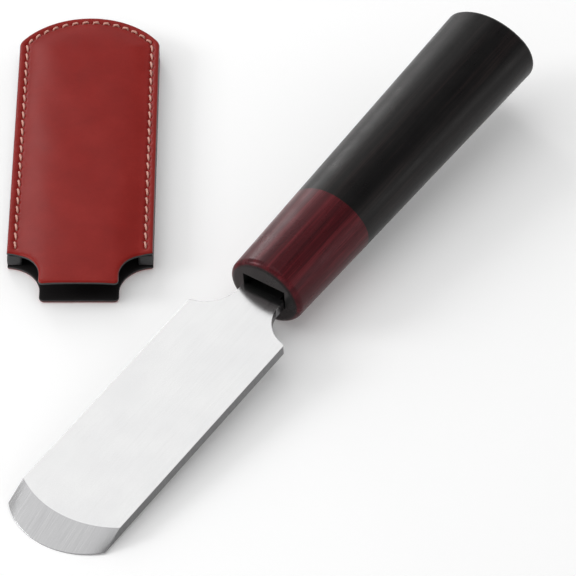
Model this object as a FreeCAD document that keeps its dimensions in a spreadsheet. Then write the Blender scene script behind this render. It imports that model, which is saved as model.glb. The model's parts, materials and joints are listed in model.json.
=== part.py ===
import FreeCAD, Part
import math
import os
import re

import Sketcher
from FreeCAD import Placement, Rotation, Vector

# A wide leather skiving knife and its stitched leather sheath, lying side by side on one surface.
#
# Knife frame: the origin is the centre of the ferrule's front face, +X runs along the handle to the
# butt, and +Z is square to the blade's top face. The blade points along -X.
# Sheath frame: the origin is in the middle of the mouth on the flat back, +Y runs to the closed end,
# and +Z goes through the leather from the back to the front.
# Row frame: +Z up, origin on the surface under the middle of the whole set.

SIZES = {
    # Blade: one flat plate with a rounded, single-bevel cutting end, a neck and a hidden tang.
    "blade_width": 36.0,
    "blade_thickness": 3.5,
    "blade_top": 0.75,
    "shoulder_reach": 15.0,
    "shoulder_rounding": 1.0,
    "neck_width": 15.0,
    "neck_straight": 4.5,
    "notch_radius": 12.5,
    "edge_corner_reach": 109.0,
    "edge_corner_cut": 1.6,
    "edge_corner_radius": 2.2,
    "edge_radius": 25.0,
    "bevel_corner_reach": 101.0,
    "bevel_radius": 33.0,
    "tang_length": 88.0,
    "tang_root_width": 12.0,
    "tang_tip_width": 6.0,
    "tang_step": 0.3,
    # Handle: an oval that widens evenly from the ferrule's face to the butt.
    "handle_length": 130.5,
    "ferrule_length": 37.0,
    "front_oval_width": 26.6,
    "front_oval_height": 24.0,
    "butt_oval_width": 33.4,
    "butt_oval_height": 25.4,
    "oval_side_share": 0.84,
    "front_rounding": 2.2,
    "butt_rounding": 1.6,
    # Tang mortise, hollow dowel, and the resin that beds the tang in both.
    "mortise_width": 15.6,
    "mortise_height": 7.6,
    "mortise_centre": 0.9,
    "mortise_open_depth": 7.0,
    "dowel_diameter": 16.0,
    "dowel_in_ferrule": 17.0,
    "dowel_in_handle": 34.0,
    "dowel_slot_width": 12.4,
    "dowel_slot_height": 5.0,
    "tail_slot_width": 9.6,
    "tail_slot_height": 4.4,
    "tail_slot_depth": 20.0,
    # Sheath: two leather panels with a welt between them along both sides and the closed end.
    "sheath_width": 46.0,
    "sheath_side": 101.0,
    "sheath_end_rise": 12.5,
    "sheath_corner_rounding": 4.0,
    "panel_thickness": 1.7,
    "welt_thickness": 4.2,
    "welt_width": 4.5,
    "end_welt_leg": 6.0,
    "blade_end_room": 0.5,
    "tongue_width": 25.0,
    "tongue_length": 15.3,
    "tongue_notch": 10.5,
    "tongue_notch_radius": 11.5,
    "tongue_rounding": 1.5,
    "mouth_rise": 2.0,
    "end_rise": 0.1,
    # Seam: one line of stitches that lies in a shallow channel on each face.
    "seam_inset": 2.4,
    "seam_start": 1.5,
    "side_stitch_pitch": 4.2,
    "side_stitch_length": 2.6,
    "end_stitch_pitch": 3.4,
    "end_stitch_length": 2.0,
    "thread_diameter": 0.9,
    "thread_clearance": 0.02,
    "channel_width": 1.3,
    "front_channel_depth": 0.5,
    "back_channel_depth": 1.0,
    # Layout: the knife's turn on the surface in degrees, and the sheath's place beside it.
    "knife_turn": 55.3,
    "sheath_left": 58.3,
    "sheath_ahead": 23.0,
}

# Distances that follow from the driving sizes, as expressions over them.
BLADE_BOTTOM = "blade_top - blade_thickness"
HALF_BLADE = "blade_width / 2"
EDGE_CENTRE = "(edge_corner_reach - sqrt(edge_radius ^ 2 - (blade_width / 2) ^ 2))"
TIP_REACH = f"({EDGE_CENTRE} + edge_radius)"
FERRULE_SHARE = "(ferrule_length / handle_length)"
JOINT_OVAL_WIDTH = f"front_oval_width + (butt_oval_width - front_oval_width) * {FERRULE_SHARE}"
JOINT_OVAL_HEIGHT = f"front_oval_height + (butt_oval_height - front_oval_height) * {FERRULE_SHARE}"
DOWEL_START = "(ferrule_length - dowel_in_ferrule)"
DOWEL_END = "(ferrule_length + dowel_in_handle)"
TAIL_END = f"({DOWEL_END} + tail_slot_depth)"
TANG_LEVEL = f"({BLADE_BOTTOM} + blade_thickness / 2)"
HALF_SHEATH = "(sheath_width / 2)"
HALF_CAVITY = "(sheath_width / 2 - welt_width)"
END_RADIUS = f"(({HALF_SHEATH} ^ 2 + sheath_end_rise ^ 2) / (2 * sheath_end_rise))"
CAVITY_END = "(sheath_side + sheath_end_rise - welt_width)"
CAVITY_END_RADIUS = "(edge_radius + blade_end_room)"
CAVITY_SIDE = (
    f"({CAVITY_END} - {CAVITY_END_RADIUS} + sqrt({CAVITY_END_RADIUS} ^ 2 - {HALF_CAVITY} ^ 2))"
)
WELT_JOINT = f"({CAVITY_SIDE} - end_welt_leg)"
FRONT_LEVEL = "(panel_thickness + welt_thickness)"
FRONT_FACE = f"({FRONT_LEVEL} + panel_thickness)"
END_CENTRE = f"(sheath_side + sheath_end_rise - {END_RADIUS})"

# How near, in mm, an edge lies to a place to count as being there.
NEAR = 0.01

document = FreeCAD.newDocument("skiving_knife")
sheet = document.addObject("Spreadsheet::Sheet", "sizes")
for row, (cell_name, cell_value) in enumerate(SIZES.items(), start=1):
    sheet.set(f"A{row}", cell_name)
    sheet.set(f"B{row}", str(cell_value))
    sheet.setAlias(f"B{row}", cell_name)
document.recompute()
frame_probe = document.addObject("App::FeaturePython", "probe")
frame_probe.addProperty("App::PropertyFloat", "Number")
known_sizes = {}


def bound(expression):
    """The expression with each size written as a cell of the sheet."""

    def as_cell(word):
        return f"sizes.{word[0]}" if word[0] in SIZES else word[0]

    return re.sub(r"[a-z]\w*", as_cell, expression)


def size(expression):
    """The number that an expression over the sizes gives."""
    if expression not in known_sizes:
        frame_probe.setExpression("Number", bound(expression))
        frame_probe.recompute()
        known_sizes[expression] = frame_probe.Number
    return known_sizes[expression]


def new_body(label):
    body = document.addObject("PartDesign::Body", label)
    body.Label = label
    return body


def new_sketch(body, name, plane_role, offset="0"):
    """Sketch on one of the body's origin planes, moved by offset along the plane's normal."""
    sketch = body.newObject("Sketcher::SketchObject", name)
    plane = next(item for item in body.Origin.OriginFeatures if item.Role == plane_role)
    sketch.AttachmentSupport = [(plane, "")]
    sketch.MapMode = "FlatFace"
    sketch.setExpression("AttachmentOffset.Base.z", bound(offset))
    return sketch


def dimension(sketch, kind, references, expression):
    """Constraint of the sketch that follows an expression over the sizes."""
    index = sketch.addConstraint(Sketcher.Constraint(kind, *references, size(expression)))
    sketch.setExpression(f"Constraints[{index}]", bound(expression))


def draw_outline(sketch, corners, arcs=None):
    """Closed outline through corners, (x, y) pairs of expressions.

    arcs maps an edge's number to its radius and to the side, left or right of the way the outline
    runs, on which its centre lies. Every other edge is straight.
    """
    arcs = arcs or {}
    points = [Vector(size(x), size(y), 0) for x, y in corners]
    ends = []
    for number, start in enumerate(points):
        finish = points[(number + 1) % len(points)]
        if number not in arcs:
            line = sketch.addGeometry(Part.LineSegment(start, finish))
            ends.append((line, 1, 2))
            continue
        radius, side = arcs[number]
        chord = finish - start
        left = Vector(-chord.y, chord.x, 0).normalize()
        toward_centre = left if side == "left" else left * -1
        drop = math.sqrt(size(radius) ** 2 - (chord.Length / 2) ** 2)
        centre = (start + finish) * 0.5 + toward_centre * drop
        first, last = (start, finish) if side == "left" else (finish, start)
        first_angle = math.atan2(first.y - centre.y, first.x - centre.x)
        last_angle = math.atan2(last.y - centre.y, last.x - centre.x)
        circle = Part.Circle(centre, Vector(0, 0, 1), size(radius))
        arc = sketch.addGeometry(Part.ArcOfCircle(circle, first_angle, last_angle))
        ends.append((arc, 1, 2) if side == "left" else (arc, 2, 1))
        dimension(sketch, "Radius", (arc,), radius)
    for number, (edge, start_end, _) in enumerate(ends):
        last_edge, _, last_end = ends[number - 1]
        sketch.addConstraint(Sketcher.Constraint("Coincident", last_edge, last_end, edge, start_end))
        x, y = corners[number]
        dimension(sketch, "DistanceX", (-1, 1, edge, start_end), x)
        dimension(sketch, "DistanceY", (-1, 1, edge, start_end), y)


def draw_rectangle(sketch, width, height, centre_y="0"):
    """Rectangle across the sketch's vertical axis."""
    left, right = f"-({width}) / 2", f"({width}) / 2"
    low, high = f"{centre_y} - ({height}) / 2", f"{centre_y} + ({height}) / 2"
    draw_outline(sketch, [(left, low), (right, low), (right, high), (left, high)])


def draw_circle(sketch, diameter):
    circle = sketch.addGeometry(Part.Circle(Vector(0, 0, 0), Vector(0, 0, 1), size(diameter) / 2))
    sketch.addConstraint(Sketcher.Constraint("Coincident", circle, 3, -1, 1))
    dimension(sketch, "Diameter", (circle,), diameter)


def draw_oval(sketch, width, height):
    """Oval about the sketch's origin: a tight arc at each side, flatter arcs above and below."""
    half_width, half_height = f"(({width}) / 2)", f"(({height}) / 2)"
    side_radius = f"({half_height} * oval_side_share)"
    flat_radius = (
        f"(({half_width} ^ 2 + {half_height} ^ 2 - 2 * {half_width} * {side_radius})"
        f" / (2 * ({half_height} - {side_radius})))"
    )
    share = f"({side_radius} / ({flat_radius} - {side_radius}))"
    meet_x = f"(({half_width} - {side_radius}) * (1 + {share}))"
    meet_y = f"(({flat_radius} - {half_height}) * {share})"
    corners = [
        (meet_x, f"-{meet_y}"),
        (meet_x, meet_y),
        (f"-{meet_x}", meet_y),
        (f"-{meet_x}", f"-{meet_y}"),
    ]
    radii = (side_radius, flat_radius, side_radius, flat_radius)
    draw_outline(sketch, corners, {number: (radius, "left") for number, radius in enumerate(radii)})


def feature(body, kind, name, profile, **settings):
    """Feature of the body made from a sketch, with its plain settings."""
    made = body.newObject(f"PartDesign::{kind}", name)
    made.Profile = profile
    for setting, value in settings.items():
        setattr(made, setting, value)
    return made


def ruled_loft(body, name, *sections):
    """Ruled solid through the sections, given from the far end of their planes' normal.

    In the other order the solid is inside out, and no later feature can cut it.
    """
    return feature(body, "AdditiveLoft", name, sections[0], Sections=list(sections[1:]), Ruled=True)


def pad(body, name, profile, length):
    made = feature(body, "Pad", name, profile)
    made.setExpression("Length", bound(length))
    return made


def pocket(body, name, profile, length=None, backwards=False):
    """Cut along the sketch's normal turned over, or along the normal where backwards is set.

    A pocket with no length goes right through, both ways.
    """
    document.recompute()
    before = body.Shape.Volume
    made = feature(body, "Pocket", name, profile, Reversed=backwards)
    if length:
        made.setExpression("Length", bound(length))
    else:
        made.Type = "ThroughAll"
        made.SideType = "Symmetric"
    document.recompute()
    if body.Shape.Volume >= before:
        raise RuntimeError(f"{name} cuts nothing from {body.Label}")
    return made


def round_edges(body, name, radius, chosen):
    """Fillet on the edges of the body for which chosen(edge) is true."""
    document.recompute()
    base = body.Tip
    edges = [f"Edge{number}" for number, edge in enumerate(base.Shape.Edges, start=1) if chosen(edge)]
    if not edges:
        raise RuntimeError(f"{name} finds no edge on {body.Label}")
    made = body.newObject("PartDesign::Fillet", name)
    made.Base = (base, edges)
    made.setExpression("Radius", bound(radius))
    document.recompute()
    return made


def upright_at(half_width, distance, across):
    """Test for the upright edges that lie half_width to each side, and at one distance along."""
    along = "y" if across == "x" else "x"

    def chosen(edge):
        box = edge.BoundBox
        upright = max(box.XLength, box.YLength) < NEAR
        aside = abs(getattr(box.Center, across))
        return (
            upright
            and abs(aside - size(half_width)) < NEAR
            and abs(getattr(box.Center, along) - size(distance)) < NEAR
        )

    return chosen


def blade_outline(corner_reach, front_radius):
    """Corners and arcs of the plate from neck to cutting end, at one level of its thickness."""
    corners = [
        ("0", "neck_width / 2"),
        ("-neck_straight", "neck_width / 2"),
        ("-shoulder_reach", HALF_BLADE),
        (f"-{corner_reach}", HALF_BLADE),
        (f"-{corner_reach}", f"-{HALF_BLADE}"),
        ("-shoulder_reach", f"-{HALF_BLADE}"),
        ("-neck_straight", "-neck_width / 2"),
        ("0", "-neck_width / 2"),
    ]
    arcs = {1: ("notch_radius", "right"), 3: (front_radius, "left"), 5: ("notch_radius", "right")}
    return corners, arcs


def draw_tang(sketch):
    """Outline of the tang, which starts inside the neck."""
    draw_outline(sketch, [
        ("-neck_straight", "-tang_root_width / 2"),
        ("tang_length", "-tang_tip_width / 2"),
        ("tang_length", "tang_tip_width / 2"),
        ("-neck_straight", "tang_root_width / 2"),
    ])


def make_blade():
    """Plate whose front is ruled from the cutting edge below to the bevel line above."""
    body = new_body("blade")
    lower = new_sketch(body, "blade_back", "XY_Plane", BLADE_BOTTOM)
    draw_outline(lower, *blade_outline("edge_corner_reach", "edge_radius"))
    upper = new_sketch(body, "blade_face", "XY_Plane", "blade_top")
    draw_outline(upper, *blade_outline("bevel_corner_reach", "bevel_radius"))
    ruled_loft(body, "blade_plate", upper, lower)

    tang = new_sketch(body, "tang_outline", "XY_Plane", f"{BLADE_BOTTOM} + tang_step")
    draw_tang(tang)
    pad(body, "tang", tang, "blade_thickness - 2 * tang_step")

    side_x = "-(edge_corner_reach - edge_corner_cut)"
    front_y = f"({HALF_BLADE} - edge_corner_cut)"
    front_x = f"-({EDGE_CENTRE} + sqrt(edge_radius ^ 2 - {front_y} ^ 2))"
    outside_x = f"{front_x} - edge_corner_cut"
    outside_y = f"{HALF_BLADE} + edge_corner_cut"
    for name, sign, centre_side in (("left_corner", "", "left"), ("right_corner", "-", "right")):
        waste = new_sketch(body, f"{name}_waste", "XY_Plane")
        draw_outline(
            waste,
            [
                (side_x, f"{sign}({HALF_BLADE})"),
                (front_x, f"{sign}{front_y}"),
                (outside_x, f"{sign}{front_y}"),
                (outside_x, f"{sign}({outside_y})"),
                (side_x, f"{sign}({outside_y})"),
            ],
            {0: ("edge_corner_radius", centre_side)},
        )
        pocket(body, name, waste)

    at_shoulder = upright_at(HALF_BLADE, "-shoulder_reach", across="y")
    round_edges(body, "shoulders", "shoulder_rounding", at_shoulder)
    return body


def oval_block(body, start, start_width, start_height, end, end_width, end_height):
    """Length of the handle between two oval sections."""
    front = new_sketch(body, f"{body.Label}_front", "YZ_Plane", start)
    draw_oval(front, start_width, start_height)
    rear = new_sketch(body, f"{body.Label}_rear", "YZ_Plane", end)
    draw_oval(rear, end_width, end_height)
    ruled_loft(body, f"{body.Label}_oval", rear, front)


def rim_at(position):
    """Test for the closed edges in the section at one place along the handle."""

    def chosen(edge):
        box = edge.BoundBox
        return box.XLength < NEAR and abs(box.XMin - size(position)) < NEAR

    return chosen


def make_ferrule():
    """Red block with the tang's mortise in front and the dowel's bore behind."""
    body = new_body("ferrule")
    oval_block(
        body, "0", "front_oval_width", "front_oval_height",
        "ferrule_length", JOINT_OVAL_WIDTH, JOINT_OVAL_HEIGHT,
    )
    round_edges(body, "ferrule_rim", "front_rounding", rim_at("0"))
    mortise = new_sketch(body, "mortise_outline", "YZ_Plane")
    draw_rectangle(mortise, "mortise_width", "mortise_height", "mortise_centre")
    pocket(body, "mortise", mortise, DOWEL_START, backwards=True)
    bore = new_sketch(body, "ferrule_bore_outline", "YZ_Plane", "ferrule_length")
    draw_circle(bore, "dowel_diameter")
    pocket(body, "ferrule_bore", bore, "dowel_in_ferrule")
    return body


def make_handle():
    """Black block with the dowel's bore and a slot for the end of the tang."""
    body = new_body("handle")
    oval_block(
        body, "ferrule_length", JOINT_OVAL_WIDTH, JOINT_OVAL_HEIGHT,
        "handle_length", "butt_oval_width", "butt_oval_height",
    )
    round_edges(body, "butt_rim", "butt_rounding", rim_at("handle_length"))
    bore = new_sketch(body, "handle_bore_outline", "YZ_Plane", "ferrule_length")
    draw_circle(bore, "dowel_diameter")
    pocket(body, "handle_bore", bore, "dowel_in_handle", backwards=True)
    tail = new_sketch(body, "tail_slot_outline", "YZ_Plane", DOWEL_END)
    draw_rectangle(tail, "tail_slot_width", "tail_slot_height", TANG_LEVEL)
    pocket(body, "tail_slot", tail, "tail_slot_depth", backwards=True)
    return body


def make_joining_dowel():
    """Round dowel that lines up the ferrule and the handle, with a slot for the tang."""
    body = new_body("joining_dowel")
    rim = new_sketch(body, "dowel_outline", "YZ_Plane", DOWEL_START)
    draw_circle(rim, "dowel_diameter")
    pad(body, "dowel", rim, "dowel_in_ferrule + dowel_in_handle")
    slot = new_sketch(body, "dowel_slot_outline", "YZ_Plane", DOWEL_START)
    draw_rectangle(slot, "dowel_slot_width", "dowel_slot_height", TANG_LEVEL)
    pocket(body, "dowel_slot", slot)
    return body


def make_tang_bedding():
    """Hard resin that fills the mortise, the dowel's slot and the tail slot around the tang."""
    body = new_body("tang_bedding")
    stretches = [
        ("mortise", "mortise_open_depth", DOWEL_START, "mortise_centre"),
        ("dowel_slot", DOWEL_START, DOWEL_END, TANG_LEVEL),
        ("tail_slot", DOWEL_END, TAIL_END, TANG_LEVEL),
    ]
    for hollow, start, end, level in stretches:
        section = new_sketch(body, f"{hollow}_section", "YZ_Plane", start)
        draw_rectangle(section, f"{hollow}_width", f"{hollow}_height", level)
        pad(body, f"{hollow}_fill", section, f"{end} - {start}")
    tang = new_sketch(body, "tang_space_outline", "XY_Plane", "blade_top - tang_step")
    draw_tang(tang)
    pocket(body, "tang_space", tang, "blade_thickness - 2 * tang_step")
    return body


def sheath_outline():
    """Corners and arcs of a panel: tongue, two notches, sides and round closed end."""
    half_tongue = "tongue_width / 2"
    tongue_end = "-tongue_length"
    corners = [
        (f"-({half_tongue} - tongue_rounding)", tongue_end),
        (f"{half_tongue} - tongue_rounding", tongue_end),
        (half_tongue, f"{tongue_end} + tongue_rounding"),
        (half_tongue, "-tongue_notch"),
        (HALF_SHEATH, "0"),
        (HALF_SHEATH, "sheath_side"),
        (f"-{HALF_SHEATH}", "sheath_side"),
        (f"-{HALF_SHEATH}", "0"),
        (f"-{half_tongue}", "-tongue_notch"),
        (f"-{half_tongue}", f"{tongue_end} + tongue_rounding"),
    ]
    arcs = {
        1: ("tongue_rounding", "left"),
        3: ("tongue_notch_radius", "right"),
        5: (END_RADIUS, "left"),
        7: ("tongue_notch_radius", "right"),
        9: ("tongue_rounding", "left"),
    }
    return corners, arcs


def round_closed_end(body, name):
    """Take off the corners where the sides meet the round closed end."""
    at_corner = upright_at(HALF_SHEATH, "sheath_side", across="x")
    round_edges(body, name, "sheath_corner_rounding", at_corner)


def seam_channel(body, name, level, depth, upwards):
    """Shallow channel along both sides and the closed end, cut into one face of a panel."""
    inner = "(seam_inset + channel_width / 2)"
    outer = "(seam_inset - channel_width / 2)"
    channel = new_sketch(body, f"{name}_outline", "XY_Plane", level)
    corners = []
    for inset, sides in ((outer, ("", "-")), (inner, ("-", ""))):
        half_width = f"({HALF_SHEATH} - {inset})"
        end_radius = f"({END_RADIUS} - {inset})"
        side_end = f"({END_CENTRE} + sqrt({end_radius} ^ 2 - {half_width} ^ 2))"
        near, far = sides
        corners += [
            (f"{near}{half_width}", "seam_start"),
            (f"{near}{half_width}", side_end),
            (f"{far}{half_width}", side_end),
            (f"{far}{half_width}", "seam_start"),
        ]
    arcs = {
        1: (f"({END_RADIUS} - {outer})", "left"),
        5: (f"({END_RADIUS} - {inner})", "right"),
    }
    draw_outline(channel, corners, arcs)
    pocket(body, name, channel, depth, backwards=upwards)


def crowned_section(body, name, distance, rise):
    """Section across the front panel: flat over the welts, crowned between them by rise."""
    section = new_sketch(body, name, "XZ_Plane", f"-({distance})")
    low, high = FRONT_LEVEL, FRONT_FACE
    radius = f"(({HALF_CAVITY} ^ 2 + {rise} ^ 2) / (2 * {rise}))"
    corners = [
        (f"-{HALF_SHEATH}", low),
        (f"-{HALF_CAVITY}", low),
        (HALF_CAVITY, low),
        (HALF_SHEATH, low),
        (HALF_SHEATH, high),
        (HALF_CAVITY, high),
        (f"-{HALF_CAVITY}", high),
        (f"-{HALF_SHEATH}", high),
    ]
    draw_outline(section, corners, {1: (radius, "right"), 5: (radius, "left")})
    return section


def make_sheath_front():
    """Front panel, crowned over the blade, trimmed to the sheath's outline."""
    body = new_body("sheath_front")
    mouth = crowned_section(body, "crown_at_tongue", "-tongue_length - tongue_rounding", "mouth_rise")
    shallow = crowned_section(body, "crown_at_end", CAVITY_SIDE, "end_rise")
    tip = crowned_section(body, "crown_past_end", f"{CAVITY_END} + 2 * welt_width", "end_rise")
    ruled_loft(body, "crowned_sheet", mouth, shallow, tip)

    waste = new_sketch(body, "sheet_waste", "XY_Plane")
    draw_outline(waste, *sheath_outline())
    far = "2 * sheath_side"
    draw_outline(waste, [
        (f"-{far}", f"-{far}"),
        (far, f"-{far}"),
        (far, far),
        (f"-{far}", far),
    ])
    pocket(body, "sheet_trim", waste)
    round_closed_end(body, "front_corners")
    channel_top = f"{FRONT_FACE} + end_rise"
    seam_channel(body, "front_channel", channel_top, "front_channel_depth + end_rise", upwards=False)
    return body


def make_sheath_back():
    """Flat back panel."""
    body = new_body("sheath_back")
    outline = new_sketch(body, "back_outline", "XY_Plane")
    draw_outline(outline, *sheath_outline())
    pad(body, "back_sheet", outline, "panel_thickness")
    round_closed_end(body, "back_corners")
    seam_channel(body, "back_channel", "0", "back_channel_depth", upwards=True)
    return body


def make_side_welt(label, sign):
    """Straight spacer strip along one side, as thick as the room for the blade."""
    body = new_body(label)
    outline = new_sketch(body, f"{label}_outline", "XY_Plane", "panel_thickness")
    near, far = f"{sign}{HALF_CAVITY}", f"{sign}{HALF_SHEATH}"
    draw_outline(outline, [(near, "0"), (far, "0"), (far, WELT_JOINT), (near, WELT_JOINT)])
    pad(body, f"{label}_strip", outline, "welt_thickness")
    return body


def make_end_welt():
    """Spacer at the closed end, hollowed to the cutting edge's curve, with a short leg at each side."""
    body = new_body("welt_end")
    outline = new_sketch(body, "welt_end_outline", "XY_Plane", "panel_thickness")
    draw_outline(
        outline,
        [
            (HALF_CAVITY, WELT_JOINT),
            (HALF_SHEATH, WELT_JOINT),
            (HALF_SHEATH, "sheath_side"),
            (f"-{HALF_SHEATH}", "sheath_side"),
            (f"-{HALF_SHEATH}", WELT_JOINT),
            (f"-{HALF_CAVITY}", WELT_JOINT),
            (f"-{HALF_CAVITY}", CAVITY_SIDE),
            (HALF_CAVITY, CAVITY_SIDE),
        ],
        {2: (END_RADIUS, "left"), 6: (CAVITY_END_RADIUS, "right")},
    )
    pad(body, "welt_end_strip", outline, "welt_thickness")
    round_closed_end(body, "welt_corners")
    return body


def seam_places():
    """Middle, direction and length of each stitch, up the left side, round the end and back down.

    Each side and the end hold a whole number of stitches, so none lies across a corner.
    """
    inset, start = size("seam_inset"), size("seam_start")
    side_stitch, end_stitch = size("side_stitch_length"), size("end_stitch_length")
    half_width = size(HALF_SHEATH) - inset
    end_radius = size(END_RADIUS) - inset
    centre_y = size(END_CENTRE)
    side_length = centre_y + math.sqrt(end_radius ** 2 - half_width ** 2) - start
    half_angle = math.asin(half_width / end_radius)
    side_count = round(side_length / size("side_stitch_pitch"))
    end_count = round(2 * half_angle * end_radius / size("end_stitch_pitch"))
    ups = [start + (number + 0.5) * side_length / side_count for number in range(side_count)]
    for up in ups:
        yield Vector(-half_width, up, 0), Vector(0, 1, 0), side_stitch
    for number in range(end_count):
        turn = half_angle * (2 * (number + 0.5) / end_count - 1)
        place = Vector(end_radius * math.sin(turn), centre_y + end_radius * math.cos(turn), 0)
        yield place, Vector(math.cos(turn), -math.sin(turn), 0), end_stitch
    for up in reversed(ups):
        yield Vector(half_width, up, 0), Vector(0, -1, 0), side_stitch


def make_stitching():
    """One seam's stitches: short round bars in the channels of both panels."""
    radius = size("thread_diameter") / 2
    off_floor = radius + size("thread_clearance")
    front_floor = size(f"{FRONT_FACE} - front_channel_depth")
    levels = [front_floor + off_floor, size("back_channel_depth") - off_floor]
    stitches = []
    for place, direction, length in seam_places():
        for level in levels:
            start = place + Vector(0, 0, level) - direction * (length / 2)
            stitches.append(Part.makeCylinder(radius, length, start, direction))
    seam = document.addObject("Part::Feature", "stitching")
    seam.Label = "stitching"
    seam.Shape = Part.makeCompound(stitches)
    return seam


def resting_tilt():
    """Tilt in radians, and the height of the knife's origin, when it lies on tip and ferrule."""
    rounding = size("front_rounding")
    tip_reach, tip_level = size(TIP_REACH), size(BLADE_BOTTOM)
    run = tip_reach + rounding
    rise = tip_level + size("front_oval_height") / 2 - rounding
    tilt = math.atan2(rise, run) + math.asin(rounding / math.hypot(run, rise))
    return tilt, tip_reach * math.sin(tilt) - tip_level * math.cos(tilt)


def place_all(knife, sheath):
    """Lay both on the surface, and bring the middle of the whole set over the origin."""
    tilt, height = resting_tilt()
    turn = Rotation(Vector(0, 0, 1), size("knife_turn"))
    lean = Rotation(Vector(0, 1, 0), -math.degrees(tilt))
    knife_place = Placement(Vector(0, 0, height), turn * lean)
    sheath_place = Placement(Vector(-size("sheath_left"), size("sheath_ahead"), 0), Rotation())
    for pieces, place in ((knife, knife_place), (sheath, sheath_place)):
        for piece in pieces:
            piece.Placement = place
    document.recompute()
    whole = FreeCAD.BoundBox()
    for piece in knife + sheath:
        whole.add(piece.Shape.optimalBoundingBox())
    middle = Vector(whole.Center.x, whole.Center.y, 0)
    for piece in knife + sheath:
        piece.Placement = Placement(piece.Placement.Base - middle, piece.Placement.Rotation)
    document.recompute()


def check(pieces):
    """Stop if any object failed to compute, or any piece has no valid shape."""
    for item in document.Objects:
        if {"Invalid", "Error"} & set(item.State):
            raise RuntimeError(f"{item.Label} did not compute: {item.State}")
    for piece in pieces:
        if piece.Shape.isNull() or not piece.Shape.isValid():
            raise RuntimeError(f"{piece.Label} has no valid shape")


knife_pieces = [make_blade(), make_ferrule(), make_handle(), make_joining_dowel(), make_tang_bedding()]
sheath_pieces = [
    make_sheath_front(),
    make_sheath_back(),
    make_side_welt("welt_left", "-"),
    make_side_welt("welt_right", ""),
    make_end_welt(),
    make_stitching(),
]
place_all(knife_pieces, sheath_pieces)
check(knife_pieces + sheath_pieces)

os.makedirs("parts", exist_ok=True)
for piece in knife_pieces + sheath_pieces:
    piece.Shape.exportStep(f"parts/{piece.Label}.step")
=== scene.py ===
import json
import math

import bpy
import numpy as np
from mathutils import Matrix, Vector, geometry


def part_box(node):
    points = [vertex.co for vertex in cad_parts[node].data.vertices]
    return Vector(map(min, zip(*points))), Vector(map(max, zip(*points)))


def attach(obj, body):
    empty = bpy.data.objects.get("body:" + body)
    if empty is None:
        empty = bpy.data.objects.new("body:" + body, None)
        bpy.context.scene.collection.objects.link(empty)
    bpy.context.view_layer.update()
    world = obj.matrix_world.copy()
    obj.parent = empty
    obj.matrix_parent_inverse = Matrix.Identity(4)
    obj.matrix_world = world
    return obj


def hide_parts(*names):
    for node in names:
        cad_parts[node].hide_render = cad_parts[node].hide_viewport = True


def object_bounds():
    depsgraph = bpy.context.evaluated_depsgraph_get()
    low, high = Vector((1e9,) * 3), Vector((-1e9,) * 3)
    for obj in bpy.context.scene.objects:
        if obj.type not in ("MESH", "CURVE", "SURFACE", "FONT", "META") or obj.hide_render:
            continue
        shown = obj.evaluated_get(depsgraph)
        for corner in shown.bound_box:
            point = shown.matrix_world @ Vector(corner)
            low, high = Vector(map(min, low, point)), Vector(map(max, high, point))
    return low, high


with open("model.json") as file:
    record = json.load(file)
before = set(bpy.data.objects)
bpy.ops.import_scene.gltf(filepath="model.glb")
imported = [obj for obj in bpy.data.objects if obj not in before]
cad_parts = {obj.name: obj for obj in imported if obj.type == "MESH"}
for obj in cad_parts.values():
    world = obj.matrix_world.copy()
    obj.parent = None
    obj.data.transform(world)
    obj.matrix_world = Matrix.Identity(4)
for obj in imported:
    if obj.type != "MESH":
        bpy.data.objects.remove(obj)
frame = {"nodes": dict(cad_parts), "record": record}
cad_low, cad_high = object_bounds()

# Lengths are in millimetres, apart from the stage's and its lights', which are in metres.
MM = 0.001


# ---------------------------------------------------------------- the two frames of the set

def mount(name):
    """Place and outward axis of one of the record's mounts."""
    found = next(item for item in frame["record"]["mounts"] if item["name"] == name)
    return Vector(found["pos_m"]), Vector(found["axis"])


def knife_frame():
    """Frame at the middle of the ferrule's face: +X to the butt, +Z square to the blade's top."""
    grip_point, forward = mount("grip")
    _, down = mount("blade_back")
    across = (-down).cross(forward)
    turn = Matrix((forward, across, -down)).transposed().to_4x4()
    return Matrix.Translation(grip_point - forward * GRIP_FROM_FERRULE * MM) @ turn


def sheath_frame():
    """Frame in the middle of the sheath's mouth, on its back: +Y to the closed end, +Z up."""
    low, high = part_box("sheath_back")
    return Matrix.Translation(((low.x + high.x) / 2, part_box("welt_left")[0].y, low.z))


def extent(node, axis):
    """Size of a CAD node along one axis."""
    low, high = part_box(node)
    return (high[axis] - low[axis]) / MM


GRIP_FROM_FERRULE = 83.0
KNIFE = knife_frame()
SHEATH = sheath_frame()

# Sheath, from the frame.
HALF_WIDTH = extent("sheath_back", 0) / 2
TONGUE_END = (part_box("sheath_back")[0].y - SHEATH.translation.y) / MM
CLOSED_END = (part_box("sheath_back")[1].y - SHEATH.translation.y) / MM
PANEL = extent("sheath_back", 2)
WELT = extent("welt_left", 2)
WELT_WIDTH = extent("welt_left", 0)
WELT_JOINT = extent("welt_left", 1)
FRONT_INSIDE = PANEL + WELT
FRONT_FACE = FRONT_INSIDE + PANEL

# Sheath, as the CAD draws it.
END_RISE = 12.5
CORNER_ROUNDING = 4.0
HALF_TONGUE = 12.5
TONGUE_ROUNDING = 1.5
NOTCH_DEPTH = 10.5
NOTCH_RADIUS = 11.5
BLADE_END_RADIUS = 25.5
SEAM_INSET = 2.4
SEAM_START = 1.5
SIDE_PITCH = 4.2
END_PITCH = 3.4

END_RADIUS = (HALF_WIDTH ** 2 + END_RISE ** 2) / (2 * END_RISE)
END_CENTRE = CLOSED_END - END_RADIUS
CAVITY_CENTRE = CLOSED_END - WELT_WIDTH - BLADE_END_RADIUS
HALF_CAVITY = HALF_WIDTH - WELT_WIDTH

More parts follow.
